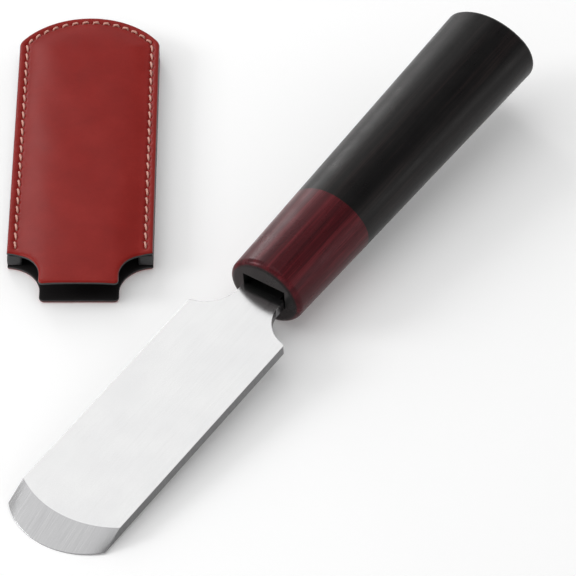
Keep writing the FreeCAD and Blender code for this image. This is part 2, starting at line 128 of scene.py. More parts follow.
# Leather: the front panel's crown, the pieces' edges, and the channel and dimples of the seam.
MOUTH_CROWN = 2.0
END_CROWN = 1.2
CROWN_START = WELT_WIDTH * 0.75
CROWN_FULLNESS = 3.4
CROWN_FOOT = 0.09
CROWN_FALL = 1.3
WAVE_DEPTH = 0.05
WAVE_MARGIN = 1.0
WAVE_FADE = 6.0
EDGE_ROUNDING = 0.55
WELT_ROUNDING = 0.4
EDGE_BULGE = 0.12
FRONT_GROOVE = 0.30
FRONT_GROOVE_WIDTH = 0.62
BACK_GROOVE = 1.0
BACK_GROOVE_WIDTH = 0.66
GROOVE_LEAD = 1.2
GROOVE_FADE = 1.6
HOLE_DEPTH = 0.7
HOLE_RADIUS = 0.42
BACK_HOLE_SHARE = 0.4

# Thread: three plies that wind about each stitch, whose ends dive into the leather.
STITCH_GAP = 1.6
STITCH_SLANT = 0.22
STITCH_STEPS = 18
PLIES = 3
PLY_SIDES = 8
PLY_RADIUS = 0.21
PLY_OFFSET = 0.16
THREAD_TWIST = 1.3
THREAD_LIFT = 0.12
FRONT_DIVE = 1.3
BACK_DIVE = 1.0
DIVE_SHARPNESS = 6

# Meshes: spacing of points along the outlines and inside them, and what they keep clear.
PANEL_OUTLINE_STEP = 0.4
SIDE_WELT_OUTLINE_STEP = 0.8
END_WELT_OUTLINE_STEP = 0.6
FRONT_STEP = 1.1
BACK_STEP = 1.4
WELT_STEP = 1.5
ROW_SPACING = 0.866
EDGE_RING_SHARES = (0.07, 0.25, 0.55, 1.0)
WALL_SHARES = (0.2, 0.5, 0.8)
EDGE_CLEARANCE = 0.45
SEAM_CLEARANCE = 0.4
SEAM_MARGIN = 1.3
CROWDED = 0.96
SEAM_ROW_OFFSETS = (-0.95, -0.62, -0.32, 0.0, 0.32, 0.62, 0.95, 1.4)
SEAM_ROW_START = -2.0
INSIDE_OUTLINE_ONLY = 1
JOIN_WITHIN = 1e-5

# Knife: the centre of its round bevel, along its axis, and the limits that tell its faces apart:
# the handle's inside, which is painted dark as shade, lies within a radius of the axis, and the
# blade's faces by how they look up.
BEVEL_CENTRE = -73.34
SHADED_INSIDE_RADIUS = 10.0
TOP_FACING = 0.985
SIDE_FACING = 0.5

# Stage: distances in metres, angles in degrees; the backdrop fades between two sines of elevation.
FLOOR_HALF = 4.0
FLOOR_GREY = 0.93
FLOOR_GLOW = 0.10
BACKDROP_FADE_FROM = 0.40
BACKDROP_FADE_TO = 0.75
BACKDROP_LOW = 0.82
BACKDROP_OVERHEAD = 0.24
CAMERA_ELEVATION = 43.97
CAMERA_DISTANCE = 1.4
CAMERA_NEAR = 0.05
CAMERA_FAR = 30.0

# Lens, and the point that it aims at, from the knife frame's origin, both in millimetres.
FOCAL_LENGTH = 281.2
SENSOR_WIDTH = 36.0
AIM_OFFSET = Vector((7.4, 1.15, 1.1))


# ---------------------------------------------------------------- materials

SHADER_INPUTS = {"ior_level": "Specular IOR Level"}


class Finish:
    """One procedural material, with short ways to add its nodes and join them."""

    def __init__(self, name, **shader):
        self.material = bpy.data.materials.new(name)
        self.material.use_nodes = True
        self.tree = self.material.node_tree
        self.shader = self.tree.nodes["Principled BSDF"]
        self.set(**shader)

    def join(self, value, socket):
        """Feed an input with another node's output, or with a plain number, vector or colour."""
        if isinstance(value, bpy.types.NodeSocket):
            self.tree.links.new(value, socket)
        elif socket.type == "RGBA":
            red, green, blue = value if hasattr(value, "__len__") else (value,) * 3
            socket.default_value = (red, green, blue, 1.0)
        else:
            socket.default_value = value

    def set(self, **shader):
        """Inputs of the surface shader, such as base_color or roughness."""
        for name, value in shader.items():
            title = SHADER_INPUTS.get(name, name.replace("_", " ").title())
            self.join(value, self.shader.inputs[title])

    def node(self, kind, inputs=None, **settings):
        """Shader node of a kind, with its inputs by name or number and its own settings."""
        made = self.tree.nodes.new("ShaderNode" + kind)
        for setting, value in settings.items():
            setattr(made, setting, value)
        for key, value in (inputs or {}).items():
            self.join(value, made.inputs[key])
        return made

    def place(self, matrix=None):
        """Coordinates in millimetres, in the object's own frame or in the one that matrix gives."""
        source = self.node("TexCoord").outputs["Object"]
        if matrix is None:
            return self.vector("SCALE", source, scale=1 / MM)
        location, rotation, _ = matrix.decompose()
        inputs = {
            "Vector": source,
            "Location": location,
            "Rotation": rotation.to_euler(),
            "Scale": (MM, MM, MM),
        }
        return self.node("Mapping", inputs, vector_type="TEXTURE").outputs[0]

    def facing(self, direction):
        """How squarely the surface faces a direction of the object's frame, from -1 to 1."""
        normal = self.node("TexCoord").outputs["Normal"]
        return self.vector("DOT_PRODUCT", normal, tuple(direction), output="Value")

    def split(self, vector):
        return self.node("SeparateXYZ", {0: vector}).outputs

    def combine(self, x, y, z):
        return self.node("CombineXYZ", {0: x, 1: y, 2: z}).outputs[0]

    def vector(self, operation, *values, scale=None, output=0):
        made = self.node("VectorMath", dict(enumerate(values)), operation=operation)
        if scale is not None:
            self.join(scale, made.inputs["Scale"])
        return made.outputs[output]

    def stretch(self, vector, x, y, z):
        return self.vector("MULTIPLY", vector, (x, y, z))

    def math(self, operation, *values):
        return self.node("Math", dict(enumerate(values)), operation=operation).outputs[0]

    def weighted_sum(self, *parts):
        """Sum of the parts, each a value and its weight."""
        total = None
        for value, weight in parts:
            part = self.math("MULTIPLY", value, weight)
            total = part if total is None else self.math("ADD", total, part)
        return total

    def between(self, value, low, high, start=0.0, end=1.0):
        """Smooth step from start at low to end at high."""
        inputs = {
            "Value": value,
            "From Min": low,
            "From Max": high,
            "To Min": start,
            "To Max": end,
        }
        return self.node("MapRange", inputs, interpolation_type="SMOOTHSTEP").outputs[0]

    def mix(self, factor, first, second):
        """First at factor 0, second at factor 1; both are colours or numbers."""
        made = self.node("Mix", data_type="RGBA")
        for index, value in ((0, factor), (6, first), (7, second)):
            self.join(value, made.inputs[index])
        return made.outputs[2]

    def ramp(self, value, *stops):
        """Colour that follows value through stops of (position, colour)."""
        made = self.node("ValToRGB", {0: value})
        elements = made.color_ramp.elements
        while len(elements) < len(stops):
            elements.new(1.0)
        for element, (position, color) in zip(elements, stops):
            element.position = position
            element.color = (*color, 1.0)
        return made.outputs[0]

    def noise(self, vector, scale, detail=4.0, roughness=0.55, distortion=0.0):
        inputs = {
            "Vector": vector,
            "Scale": scale,
            "Detail": detail,
            "Roughness": roughness,
            "Distortion": distortion,
        }
        return self.node("TexNoise", inputs).outputs[0]

    def bump(self, height, strength, distance, normal=None):
        """Shading normal from a height, whose distance is in millimetres."""
        inputs = {"Height": height, "Strength": strength, "Distance": distance * MM}
        if normal is not None:
            inputs["Normal"] = normal
        return self.node("Bump", inputs).outputs[0]

    def soft_edges(self, radius):
        """Shading normal that rounds sharp edges over a small radius."""
        return self.node("Bevel", {"Radius": radius * MM}, samples=4).outputs[0]


def steel():
    """Satin plate, fanned grinding lines on the bevel, and sides painted darker as shade."""
    finish = Finish("blade_steel", metallic=1.0)
    place = finish.place(KNIFE)
    x, y, _ = finish.split(place)
    upward = finish.facing(KNIFE.col[2].to_3d())
    from_centre = finish.math("SUBTRACT", BEVEL_CENTRE, x)
    reach = finish.vector("LENGTH", finish.combine(from_centre, y, 0.0), output="Value")
    sweep = finish.math("MULTIPLY", finish.math("ARCTAN2", y, from_centre), reach)
    slow_reach = finish.math("MULTIPLY", reach, 0.03)
    fan = finish.noise(finish.combine(sweep, slow_reach, 0.0), 2.2, 7.0, 0.72)
    satin = finish.noise(finish.stretch(place, 0.05, 3.0, 3.0), 1.0, 5.0, 0.6)
    cloud = finish.noise(place, 0.05, 2.0)

    on_top = finish.math("GREATER_THAN", upward, TOP_FACING)
    on_shaded_side = finish.math("LESS_THAN", finish.math("ABSOLUTE", upward), SIDE_FACING)
    clouded = finish.between(cloud, 0.3, 0.7)
    top_color = finish.mix(clouded, (0.625, 0.625, 0.628), (0.65, 0.65, 0.65))
    bevel_color = finish.ramp(
        fan,
        (0.25, (0.37, 0.37, 0.375)),
        (0.5, (0.425, 0.425, 0.43)),
        (0.75, (0.48, 0.48, 0.48)),
    )
    # Painted shade: the blade's sides get a much darker grey than its faces, standing in for the
    # shade they reflect.
    side_shade_streaks = finish.noise(finish.stretch(place, 4.0, 4.0, 0.2), 1.0, 4.0, 0.6)
    shaded_side_color = finish.ramp(side_shade_streaks, (0.3, (0.16, 0.16, 0.165)), (0.7, (0.27, 0.27, 0.27)))
    face_color = finish.mix(on_top, bevel_color, top_color)
    finish.set(base_color=finish.mix(on_shaded_side, face_color, shaded_side_color))

    top_rough = finish.between(satin, 0.3, 0.7, 0.15, 0.21)
    bevel_rough = finish.between(fan, 0.3, 0.7, 0.20, 0.28)
    finish.set(roughness=finish.mix(on_top, bevel_rough, top_rough))
    depth = finish.mix(on_top, 0.4, 0.02)
    grooves = finish.math("MULTIPLY", finish.mix(on_top, fan, satin), depth)
    finish.set(normal=finish.bump(grooves, 0.35, 0.02, finish.soft_edges(0.15)))
    return finish.material


def turned_wood(name, dark, middle, light, end_and_shaded_inside_color, tint, gloss):
    """Lacquered wood, grain along the handle, dark end faces, and an inside painted dark as shade.

    gloss has the specular level, the lowest and highest roughness, and the strength of the relief.
    """
    finish = Finish(name, specular_tint=tint)
    place = finish.place(KNIFE)
    wander = finish.noise(finish.stretch(place, 0.012, 0.10, 0.10), 1.0, 2.0)
    bands = finish.noise(finish.stretch(place, 0.010, 0.42, 0.42), 1.0, 5.0, 0.62, 0.35)
    fibre = finish.noise(finish.stretch(place, 0.035, 2.4, 2.4), 1.0, 4.0, 0.65)
    tone = finish.weighted_sum((bands, 0.55), (fibre, 0.30), (wander, 0.15))
    side = finish.ramp(tone, (0.36, dark), (0.50, middle), (0.63, light))
    pores = finish.noise(finish.stretch(place, 0.09, 5.5, 5.5), 1.0, 2.0, 0.5)
    pore = finish.between(pores, 0.60, 0.70)
    pore_color = tuple(c * 0.3 for c in dark)
    side = finish.mix(finish.math("MULTIPLY", pore, 0.65), side, pore_color)

    along = finish.facing(KNIFE.col[0].to_3d())
    on_end = finish.between(finish.math("ABSOLUTE", along), 0.80, 0.97)
    specks = finish.noise(finish.stretch(place, 0.2, 3.0, 3.0), 1.0, 4.0, 0.6)
    speck_color = tuple(c * 1.7 for c in end_and_shaded_inside_color)
    end = finish.mix(finish.between(specks, 0.40, 0.65), end_and_shaded_inside_color, speck_color)
    # Painted shade: within a radius of the axis the inside gets the dark end colour, which stands
    # in for shade there; the end faces get it too.
    _, y, z = finish.split(place)
    from_axis = finish.vector("LENGTH", finish.combine(0.0, y, z), output="Value")
    inner = finish.math("LESS_THAN", from_axis, SHADED_INSIDE_RADIUS)
    dark_ends_and_shaded_inside = finish.math("MAXIMUM", on_end, inner)
    finish.set(base_color=finish.mix(dark_ends_and_shaded_inside, side, end), ior_level=gloss["specular"])

    worn = finish.noise(place, 0.12, 3.0)
    finish.set(roughness=finish.between(worn, 0.3, 0.7, gloss["low"], gloss["high"]))
    relief = finish.math("SUBTRACT", finish.math("MULTIPLY", fibre, 0.5), pore)
    finish.set(normal=finish.bump(relief, gloss["relief"], 0.03))
    return finish.material


def red_wood():
    return turned_wood(
        "red_wood",
        dark=(0.022, 0.0022, 0.0034),
        middle=(0.054, 0.0054, 0.0078),
        light=(0.118, 0.0130, 0.0175),
        end_and_shaded_inside_color=(0.009, 0.0105, 0.010),
        tint=(1.0, 0.55, 0.6),
        gloss={"specular": 0.25, "low": 0.26, "high": 0.34, "relief": 0.2},
    )


def black_wood():
    return turned_wood(
        "black_wood",
        dark=(0.0012, 0.0012, 0.0014),
        middle=(0.0036, 0.0032, 0.0036),
        light=(0.0140, 0.0092, 0.0090),
        end_and_shaded_inside_color=(0.006, 0.0055, 0.0055),
        tint=(1.0, 0.96, 0.94),
        gloss={"specular": 0.19, "low": 0.27, "high": 0.35, "relief": 0.18},
    )


def pale_wood():
    """Raw dowel wood."""
    finish = Finish("pale_wood", roughness=0.75)
    place = finish.place(KNIFE)
    grain = finish.noise(finish.stretch(place, 0.03, 1.4, 1.4), 1.0, 4.0, 0.6)
    finish.set(base_color=finish.ramp(grain, (0.3, (0.44, 0.30, 0.17)), (0.7, (0.66, 0.50, 0.32))))
    finish.set(normal=finish.bump(grain, 0.4, 0.08))
    return finish.material


def resin():
    """Hard dark resin with small trapped bubbles."""
    finish = Finish("resin", roughness=0.35)
    place = finish.place(KNIFE)
    cloud = finish.noise(place, 0.7, 3.0)
    color = finish.ramp(cloud, (0.3, (0.010, 0.007, 0.006)), (0.7, (0.026, 0.018, 0.014)))
    finish.set(base_color=color)
    bubbles = finish.node("TexVoronoi", {"Vector": place, "Scale": 1.6}).outputs["Distance"]
    finish.set(normal=finish.bump(finish.between(bubbles, 0.0, 0.25), 0.3, 0.15))
    return finish.material


def red_leather():
    """Smooth waxed leather with fine grain, soft mottling and slightly duller rubbed patches."""
    finish = Finish("red_leather", ior_level=0.15)
    place = finish.place()
    mottle = finish.noise(place, 0.09, 4.0, 0.6)
    fine = finish.noise(place, 1.6, 3.0, 0.6)
    finish.set(base_color=finish.ramp(
        finish.weighted_sum((mottle, 0.7), (fine, 0.3)),
        (0.34, (0.205, 0.0070, 0.0045)),
        (0.52, (0.230, 0.0092, 0.0062)),
        (0.68, (0.252, 0.0125, 0.0088)),
    ))
    rub = finish.noise(finish.stretch(place, 1.0, 0.4, 1.0), 0.22, 4.0, 0.6)
    finish.set(roughness=finish.between(rub, 0.35, 0.7, 0.28, 0.34))
    cell_inputs = {"Vector": place, "Scale": 1.9, "Randomness": 1.0}
    cells = finish.node("TexVoronoi", cell_inputs, feature="DISTANCE_TO_EDGE")
    grain = finish.between(cells.outputs["Distance"], 0.0, 0.22)
    creases = finish.noise(finish.stretch(place, 0.5, 1.0, 1.0), 0.6, 5.0, 0.65)
    height = finish.weighted_sum((grain, 0.5), (creases, 0.7))
    finish.set(normal=finish.bump(height, 0.16, 0.06))
    return finish.material


def edge_leather():
    """Black edge dressing over the fibres of the cut edge."""
    finish = Finish("edge_dressing", ior_level=0.5)
    place = finish.place()
    layers = finish.noise(finish.stretch(place, 0.5, 0.5, 3.2), 1.0, 4.0, 0.6)
    color = finish.ramp(layers, (0.30, (0.010, 0.010, 0.011)), (0.75, (0.045, 0.044, 0.045)))
    finish.set(base_color=color)
    finish.set(roughness=finish.between(layers, 0.3, 0.7, 0.36, 0.55))
    finish.set(normal=finish.bump(layers, 0.35, 0.12))
    return finish.material


def inner_leather():
    """Flesh side, dyed black and napped."""
    finish = Finish("inner_leather", roughness=0.95, ior_level=0.15)
    place = finish.place()
    nap = finish.noise(place, 3.0, 5.0, 0.7)
    color = finish.ramp(nap, (0.3, (0.006, 0.0055, 0.006)), (0.7, (0.016, 0.014, 0.014)))
    finish.set(base_color=color)
    finish.set(normal=finish.bump(nap, 0.6, 0.15))
    return finish.material


def waxed_thread():
    """Pale thread with fine fibres, a little soiled in places."""
    finish = Finish("waxed_thread", roughness=0.62, sheen_weight=0.3)
    place = finish.place()
    fibre = finish.noise(place, 5.0, 3.0, 0.6)
    soil = finish.noise(place, 0.25, 2.0)
    color = finish.ramp(fibre, (0.3, (0.55, 0.24, 0.185)), (0.7, (0.80, 0.46, 0.375)))
    soiled = finish.between(soil, 0.4, 0.75, 0.0, 0.35)
    finish.set(base_color=finish.mix(soiled, color, (0.42, 0.15, 0.115)))
    finish.set(normal=finish.bump(fibre, 0.4, 0.05))
    return finish.material


# ---------------------------------------------------------------- sheath outline

def line(start, end, step):
    """Points from start up to, and not including, end."""
    start, end = Vector(start), Vector(end)
    count = max(1, round((end - start).length / step))
    return [start.lerp(end, number / count) for number in range(count)]


def arc(centre, radius, first, last, step):
    """Points about centre from one angle up to, and not including, another."""
    count = max(2, round(abs(last - first) * radius / step))
    points = []
    for number in range(count):
        angle = first + (last - first) * number / count
        x = centre[0] + radius * math.cos(angle)
        y = centre[1] + radius * math.sin(angle)
        points.append(Vector((x, y)))
    return points


def mirrored(points):
    """The points across the sheath's middle line, in reverse order."""
    return [Vector((-point.x, point.y)) for point in reversed(points)]


def closed_end(step):
    """Right half of the round closed end, from the side's corner rounding to the top."""
    inner_radius = END_RADIUS - CORNER_ROUNDING
    corner_x = HALF_WIDTH - CORNER_ROUNDING
    corner_y = END_CENTRE + math.sqrt(inner_radius ** 2 - corner_x ** 2)
    turn = math.atan2(corner_y - END_CENTRE, corner_x)
    points = arc((corner_x, corner_y), CORNER_ROUNDING, 0.0, turn, step)
    return points + arc((0.0, END_CENTRE), END_RADIUS, turn, math.pi / 2, step)


def panel_outline(step):
    """Outline of a panel, counterclockwise from the middle of its tongue."""
    tongue_x = HALF_TONGUE - TONGUE_ROUNDING
    tongue_y = TONGUE_END + TONGUE_ROUNDING
    notch_start = Vector((HALF_TONGUE, -NOTCH_DEPTH))
    notch_end = Vector((HALF_WIDTH, 0.0))
    chord = notch_end - notch_start
    outward = Vector((chord.y, -chord.x)).normalized()
    drop = math.sqrt(NOTCH_RADIUS ** 2 - (chord.length / 2) ** 2)
    centre = (notch_start + notch_end) / 2 + outward * drop
    first, last = (
        math.atan2(end.y - centre.y, end.x - centre.x) for end in (notch_start, notch_end)
    )
    end = closed_end(step)
    right = [
        *line((0.0, TONGUE_END), (tongue_x, TONGUE_END), step),
        *arc((tongue_x, tongue_y), TONGUE_ROUNDING, -math.pi / 2, 0.0, step / 2),
        *line((HALF_TONGUE, tongue_y), notch_start, step),
        *arc(centre, NOTCH_RADIUS, first, last, step),
        *line(notch_end, end[0], step),
        *end,
    ]
    return right + [Vector((0.0, CLOSED_END))] + mirrored(right[1:])


def end_welt_outline(step):
    """Outline of the welt at the closed end, with its two legs."""
    cavity_y = CAVITY_CENTRE + math.sqrt(BLADE_END_RADIUS ** 2 - HALF_CAVITY ** 2)
    turn = math.atan2(cavity_y - CAVITY_CENTRE, HALF_CAVITY)
    end = closed_end(step)
    outer = line((HALF_WIDTH, WELT_JOINT), end[0], step) + end
    inner = [
        *arc((0.0, CAVITY_CENTRE), BLADE_END_RADIUS, math.pi / 2, turn, step),
        *line((HALF_CAVITY, cavity_y), (HALF_CAVITY, WELT_JOINT), step),
        *line((HALF_CAVITY, WELT_JOINT), (HALF_WIDTH, WELT_JOINT), step),
    ]
    half = inner + outer
    return half + [Vector((0.0, CLOSED_END))] + mirrored(half[1:])


def side_welt_outline(side, step):
    """Outline of a straight side welt; side is -1 or 1."""
    corners = [
        (HALF_CAVITY, 0.0),
        (HALF_WIDTH, 0.0),
        (HALF_WIDTH, WELT_JOINT),
        (HALF_CAVITY, WELT_JOINT),
    ]
    points = []
    for number, corner in enumerate(corners):
        points += line(corner, corners[(number + 1) % 4], step)
    return points if side > 0 else mirrored(points)


# ---------------------------------------------------------------- heights of the leather

def smooth_step(value):
    """Smooth rise from 0 to 1 as value goes from 0 to 1."""
    held = np.clip(value, 0.0, 1.0)
    return held * held * (3.0 - 2.0 * held)


def edge_distance(x, y):
    """Distance inwards from the sides and the round closed end, ignoring the mouth."""
    side = HALF_WIDTH - np.abs(x)
    end = END_RADIUS - np.hypot(x, np.maximum(y - END_CENTRE, 0.0))
    return np.minimum(side, end)


def groove(x, y, depth, width):
    """Channel under the stitches, which fades out at the mouth."""
    off = edge_distance(x, y) - SEAM_INSET
    fade = smooth_step((y - SEAM_START + GROOVE_LEAD) / GROOVE_FADE)
    return depth * np.exp(-np.power(np.abs(off) / width, 3.0)) * fade


def holes(x, y):
    """Dimples where the thread goes down through the leather."""
    total = np.zeros_like(x)
    for stitch in stitches():
        for end in (-1, 1):
            place = stitch_end(stitch, end)
            away = np.hypot(x - place.x, y - place.y)
            total = np.maximum(total, HOLE_DEPTH * np.exp(-np.power(away / HOLE_RADIUS, 2.0)))
    return total


def crown(x, y):
    """Rise of the front panel where it bends over the blade, highest at the mouth."""
    inwards = (edge_distance(x, y) - CROWN_START) / (HALF_WIDTH - CROWN_START)
    held = np.clip(inwards, 0.0, 1.0)
    bend = 1.0 - np.power(1.0 - held, CROWN_FULLNESS)
    shape = bend * held / (held + CROWN_FOOT) * (1.0 + CROWN_FOOT)
    along = np.clip((y - TONGUE_END) / (CLOSED_END - TONGUE_END), 0.0, 1.0)
    rise = END_CROWN + (MOUTH_CROWN - END_CROWN) * np.power(1.0 - along, CROWN_FALL)
    return rise * shape


def slow_waves(x, y):
    """Small unevenness of hand-cut leather, in waves 14 to 57 mm long."""
    crossed = np.sin(x * 0.23 + 0.9) * np.sin(y * 0.11 + 0.4)
    return WAVE_DEPTH * (crossed + 0.6 * np.sin(x * 0.41 + y * 0.19 + 2.0))


def front_top(x, y):
    """Outer face of the front panel; its waves start inside the seam."""
    inner = smooth_step((edge_distance(x, y) - SEAM_INSET - WAVE_MARGIN) / WAVE_FADE)
    raised = FRONT_FACE + crown(x, y) + slow_waves(x, y) * inner
    return raised - groove(x, y, FRONT_GROOVE, FRONT_GROOVE_WIDTH) - holes(x, y)


def front_bottom(x, y):
    return FRONT_INSIDE + crown(x, y)


def back_top(x, y):
    return np.full_like(x, PANEL)


def back_bottom(x, y):
    return groove(x, y, BACK_GROOVE, BACK_GROOVE_WIDTH) + BACK_HOLE_SHARE * holes(x, y)


def welt_top(x, y):
    return np.full_like(x, FRONT_INSIDE)


def welt_bottom(x, y):
    return np.full_like(x, PANEL)


# ---------------------------------------------------------------- leather pieces

def loop_directions(points):
    """Direction along a closed outline at each of its points."""
    return np.roll(points, -1, axis=0) - np.roll(points, 1, axis=0)


def left_of(directions):
    """Unit vectors square to the directions, on their left."""
    ahead = directions / np.linalg.norm(directions, axis=1)[:, None]
    return np.stack([-ahead[:, 1], ahead[:, 0]], axis=1)


def distance_to(outline, points):
    """Distance of each point to the nearest stretch of a closed outline."""
    starts = np.array(outline)
    runs = np.roll(starts, -1, axis=0) - starts
    lengths = np.maximum((runs ** 2).sum(1), 1e-12)
    found = np.full(len(points), np.inf)
    for start, run, length in zip(starts, runs, lengths):
        away = points - start
        share = np.clip((away @ run) / length, 0.0, 1.0)
        gap = away - share[:, None] * run
        found = np.minimum(found, np.einsum("ij,ij->i", gap, gap))
    return np.sqrt(found)


def inside(outline, points):
    """Whether each point lies inside a closed outline."""
    x, y = points[:, 0], points[:, 1]
    result = np.zeros(len(points), bool)
    for (x0, y0), (x1, y1) in zip(outline, outline[1:] + outline[:1]):
        if y0 == y1:
            continue
        crosses = (y0 > y) != (y1 > y)
        result ^= crosses & (x < (x1 - x0) * (y - y0) / (y1 - y0) + x0)
    return result


def insets(outline, distances):
    """Points at fixed distances inside an outline, without those that lie nearer to it."""
    here = np.array(outline)
    inward = left_of(loop_directions(here))
    rings = []
    for distance in distances:
        ring = here + inward * distance
        rings.append(ring[distance_to(outline, ring) > distance * CROWDED])
    return rings


def honeycomb(low, high, step):
    """Evenly spread points over a rectangle."""
    rows = []
    for number, y in enumerate(np.arange(low[1], high[1], step * ROW_SPACING)):
        xs = np.arange(low[0] + (number % 2) * step / 2, high[0], step)
        rows.append(np.stack([xs, np.full_like(xs, y)], axis=1))
    return np.concatenate(rows)


def spread(outline, rounding, step, seam_rings):
    """Points for the flat shape of a piece: its outline, rows by its edge and seam, a filling."""
    corners = np.array(outline)
    rings = insets(outline, [rounding * share for share in EDGE_RING_SHARES])
    filling = honeycomb(corners.min(0), corners.max(0), step)
    filling = filling[inside(outline, filling)]
    filling = filling[distance_to(outline, filling) > rounding + step * EDGE_CLEARANCE]
    for ring in seam_rings:
        kept = (distance_to(outline, ring) > rounding * SEAM_MARGIN) & inside(outline, ring)
        rings.append(ring[kept])
        filling = filling[distance_to(ring, filling) > step * SEAM_CLEARANCE]
    return np.concatenate([corners, *rings, filling])


def slab(name, outline, top, bottom, rounding, step, seam_rings=()):
    """Closed leather piece between two height functions, with rounded, slightly bulging edges.

    Material 0 is its top face, 1 its bottom face and 2 its cut edge.
    """
    outline = [tuple(point) for point in outline]
    corners = np.array(outline)
    count = len(outline)
    points = [Vector(point) for point in spread(outline, rounding, step, seam_rings)]
    edges = [(number, (number + 1) % count) for number in range(count)]
    flat, _, faces, *_ = geometry.delaunay_2d_cdt(
        points, edges, [], INSIDE_OUTLINE_ONLY, JOIN_WITHIN
    )
    flat = np.array(flat)
    x, y = flat[:, 0], flat[:, 1]
    short_of = np.maximum(rounding - distance_to(outline, flat), 0.0)
    sag = rounding - np.sqrt(np.maximum(rounding ** 2 - short_of ** 2, 0.0))
    upper = np.column_stack([flat, top(x, y) - sag])
    lower = np.column_stack([flat, bottom(x, y) + sag])

    vertices = [*upper, *lower]
    below = len(flat)
    polygons = [tuple(face) for face in faces]
    polygons += [tuple(reversed([corner + below for corner in face])) for face in faces]
    kinds = [0] * len(faces) + [1] * len(faces)

    inward = left_of(loop_directions(corners))
    columns = []
    for number in range(count):
        high, low = upper[number][2], lower[number][2]
        column = [number]
        for share in WALL_SHARES:
            bulge = EDGE_BULGE * 4 * share * (1 - share)
            side = corners[number] - inward[number] * bulge
            column.append(len(vertices))
            vertices.append(np.array([*side, high + (low - high) * share]))
        column.append(number + below)
        columns.append(column)
    for number in range(count):
        left, right = columns[number], columns[(number + 1) % count]
        for row in range(len(left) - 1):
            polygons.append((left[row], left[row + 1], right[row + 1], right[row]))
            kinds.append(2)
    return make_piece(name, vertices, polygons, kinds)


def make_piece(name, vertices, polygons, kinds):
    """Smooth mesh object in the sheath's frame, from points in millimetres."""
    mesh = bpy.data.meshes.new(name)
    mesh.from_pydata([Vector(vertex) * MM for vertex in vertices], [], polygons)
    mesh.polygons.foreach_set("material_index", kinds)
    mesh.polygons.foreach_set("use_smooth", [True] * len(polygons))
    mesh.validate()
    piece = bpy.data.objects.new(name, mesh)
    bpy.context.scene.collection.objects.link(piece)
    piece.matrix_world = SHEATH
    return piece


def seam_rows(step):
    """Rows of points beside the seam line, so that its channel has a smooth shape."""
    end = closed_end(step)
    half = line((HALF_WIDTH, SEAM_ROW_START), end[0], step) + end
    path = half + [Vector((0.0, CLOSED_END))] + mirrored(half)
    here = np.array(path)
    inward = left_of(np.gradient(here, axis=0))
    return [here + inward * (SEAM_INSET + offset) for offset in SEAM_ROW_OFFSETS]


# ---------------------------------------------------------------- stitches

def stitches():
    """Middle, direction and pitch of each stitch, up the left side, round the end and back down."""
    half = HALF_WIDTH - SEAM_INSET
    radius = END_RADIUS - SEAM_INSET
    side = END_CENTRE + math.sqrt(radius ** 2 - half ** 2) - SEAM_START
    side_count = round(side / SIDE_PITCH)
    side_pitch = side / side_count
    half_angle = math.asin(half / radius)
    end_length = 2 * half_angle * radius
    end_count = round(end_length / END_PITCH)
    ups = [SEAM_START + (number + 0.5) * side / side_count for number in range(side_count)]
    found = [(Vector((-half, up)), Vector((0.0, 1.0)), side_pitch) for up in ups]
    for number in range(end_count):
        turn = half_angle * (2 * (number + 0.5) / end_count - 1)
        middle = Vector((radius * math.sin(turn), END_CENTRE + radius * math.cos(turn)))
        direction = Vector((math.cos(turn), -math.sin(turn)))
        found.append((middle, direction, end_length / end_count))
    found += [(Vector((half, up)), Vector((0.0, -1.0)), side_pitch) for up in reversed(ups)]
    return found


def stitch_end(stitch, end):
    """Where a stitch goes down through the leather; end is -1 or 1."""
    middle, direction, pitch = stitch
    across = Vector((-direction.y, direction.x))
    return middle + direction * end * (pitch - STITCH_GAP) / 2 + across * end * STITCH_SLANT


def turned(sideways, upward, angle):
    """Sideways, turned towards upward by an angle."""
    return sideways * math.cos(angle) + upward * math.sin(angle)


def add_ply(vertices, polygons, path, phase):
    """Add one ply of a twisted thread, a closed tube that winds about a path of 3-D points."""
    travelled = 0.0
    rings = []
    for number, point in enumerate(path):
        ahead = path[min(number + 1, len(path) - 1)] - path[max(number - 1, 0)]
        forward = ahead.normalized()
        if number:
            travelled += (point - path[number - 1]).length
        sideways = forward.cross(Vector((0.0, 0.0, 1.0))).normalized()
        upward = sideways.cross(forward)
        turn = phase + 2 * math.pi * travelled / THREAD_TWIST
        centre = point + turned(sideways, upward, turn) * PLY_OFFSET
        ring = []
        for side in range(PLY_SIDES):
            angle = 2 * math.pi * side / PLY_SIDES
            ring.append(len(vertices))
            vertices.append(centre + turned(sideways, upward, angle) * PLY_RADIUS)
        rings.append(ring)
    for first, second in zip(rings, rings[1:]):
        for side in range(PLY_SIDES):
            after = (side + 1) % PLY_SIDES
            polygons.append((first[side], second[side], second[after], first[after]))
    polygons.append(tuple(rings[0]))
    polygons.append(tuple(reversed(rings[-1])))


def make_stitching(name, level, dive):
    """Twisted stitches of one face, at a level; their ends go down by dive, or up if negative."""
    vertices, polygons = [], []
    for stitch in stitches():
        start, end = stitch_end(stitch, -1), stitch_end(stitch, 1)
        path = []
        for number in range(STITCH_STEPS + 1):
            share = number / STITCH_STEPS
            off_middle = abs(2 * share - 1)
            place = start.lerp(end, share)
            path.append(Vector((place.x, place.y, level - dive * off_middle ** DIVE_SHARPNESS)))
        for ply in range(PLIES):
            add_ply(vertices, polygons, path, ply * 2 * math.pi / PLIES)
    return make_piece(name, vertices, polygons, [0] * len(polygons))


# ---------------------------------------------------------------- the set

def finish_knife():
    """Give the knife's CAD nodes their materials."""
    finishes = {
        "blade": steel(),
        "ferrule": red_wood(),
        "handle": black_wood(),
        "joining_dowel": pale_wood(),
        "tang_bedding": resin(),
    }
    for node, material in finishes.items():
        for material_slot in frame["nodes"][node].material_slots:
            material_slot.material = material


